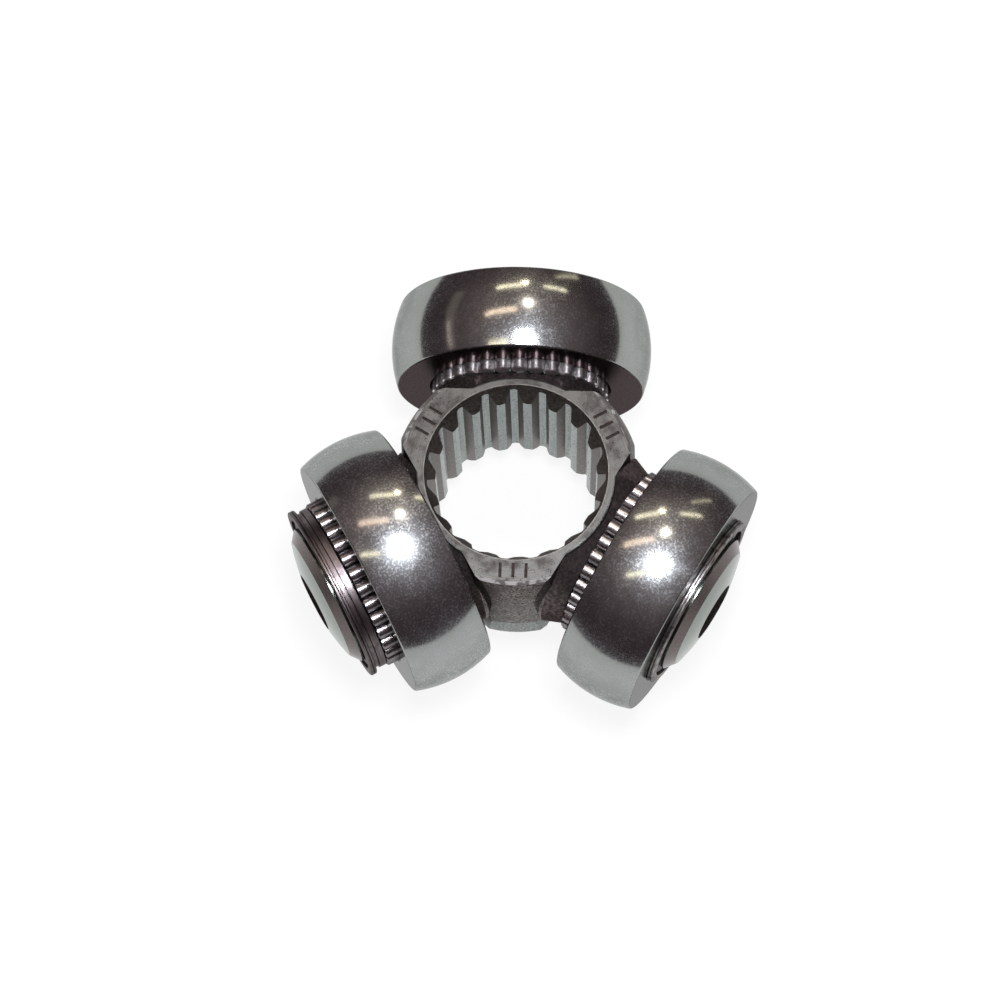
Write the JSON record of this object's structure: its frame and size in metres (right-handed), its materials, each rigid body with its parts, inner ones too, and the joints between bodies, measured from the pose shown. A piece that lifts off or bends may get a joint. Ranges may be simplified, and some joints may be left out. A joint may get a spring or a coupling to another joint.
{
  "type": "tripod joint",
  "caption": "Drive shaft tripod: a forged spider with a splined hub, and a ball-faced roller running on loose needles on each trunnion, held by a turned retainer and a circlip.",
  "frame": {"origin": "on the hub axis, in the plane of the three trunnion axes", "axes": "+Z along the hub axis, out of the face with the marks; +Y along trunnion 1; trunnions 2 and 3 follow at 120 degree steps about +Z"},
  "size_m": [0.071, 0.0665, 0.04],
  "materials": {
    "forged_steel": "forged, with faced hub ends and broached spline",
    "roller_steel": "hardened bearing steel, ground and polished",
    "needle_steel": "hardened bearing steel, ground",
    "retainer_steel": "turned, lightly oiled",
    "spring_steel": "blackened spring steel"
  },
  "bodies": {
    "spider": {"spider": "forged_steel", "circlip_1": "spring_steel", "circlip_2": "spring_steel", "circlip_3": "spring_steel"},
    "retainer_1": {"retainer_1": "retainer_steel"},
    "needles_1": {"needle_set_1": "needle_steel"},
    "roller_1": {"roller_1": "roller_steel"},
    "retainer_2": {"retainer_2": "retainer_steel"},
    "needles_2": {"needle_set_2": "needle_steel"},
    "roller_2": {"roller_2": "roller_steel"},
    "retainer_3": {"retainer_3": "retainer_steel"},
    "needles_3": {"needle_set_3": "needle_steel"},
    "roller_3": {"roller_3": "roller_steel"}
  },
  "joints": [
    {"name": "roller_1_spin", "type": "hinge", "parent": "spider", "child": "retainer_1", "pos_m": [0, 0.02375, 0], "axis": [0, 1, 0], "continuous": true},
    {"name": "roller_1_slide", "type": "slide", "parent": "retainer_1", "child": "roller_1", "axis": [0, 1, 0], "range_m": [-0.0028, 0.0011]},
    {"name": "needles_1_orbit", "type": "hinge", "parent": "spider", "child": "needles_1", "pos_m": [0, 0.02375, 0], "axis": [0, 1, 0], "continuous": true},
    {"name": "roller_2_spin", "type": "hinge", "parent": "spider", "child": "retainer_2", "pos_m": [-0.01816, -0.01048, 0], "axis": [-0.866, -0.5, 0], "continuous": true},
    {"name": "roller_2_slide", "type": "slide", "parent": "retainer_2", "child": "roller_2", "axis": [-0.866, -0.5, 0], "range_m": [-0.00002, 0.00388]},
    {"name": "needles_2_orbit", "type": "hinge", "parent": "spider", "child": "needles_2", "pos_m": [-0.01816, -0.01048, 0], "axis": [-0.866, -0.5, 0], "continuous": true},
    {"name": "roller_3_spin", "type": "hinge", "parent": "spider", "child": "retainer_3", "pos_m": [0.02152, -0.01243, 0], "axis": [0.866, -0.5, 0], "continuous": true},
    {"name": "roller_3_slide", "type": "slide", "parent": "retainer_3", "child": "roller_3", "axis": [0.866, -0.5, 0], "range_m": [-0.0039, 0]},
    {"name": "needles_3_orbit", "type": "hinge", "parent": "spider", "child": "needles_3", "pos_m": [0.02152, -0.01243, 0], "axis": [0.866, -0.5, 0], "continuous": true}
  ],
  "couplings": [
    {"joint": "needles_1_orbit", "follows": "roller_1_spin", "ratio": 0.5506},
    {"joint": "needles_2_orbit", "follows": "roller_2_spin", "ratio": 0.5506},
    {"joint": "needles_3_orbit", "follows": "roller_3_spin", "ratio": 0.5506}
  ]
}
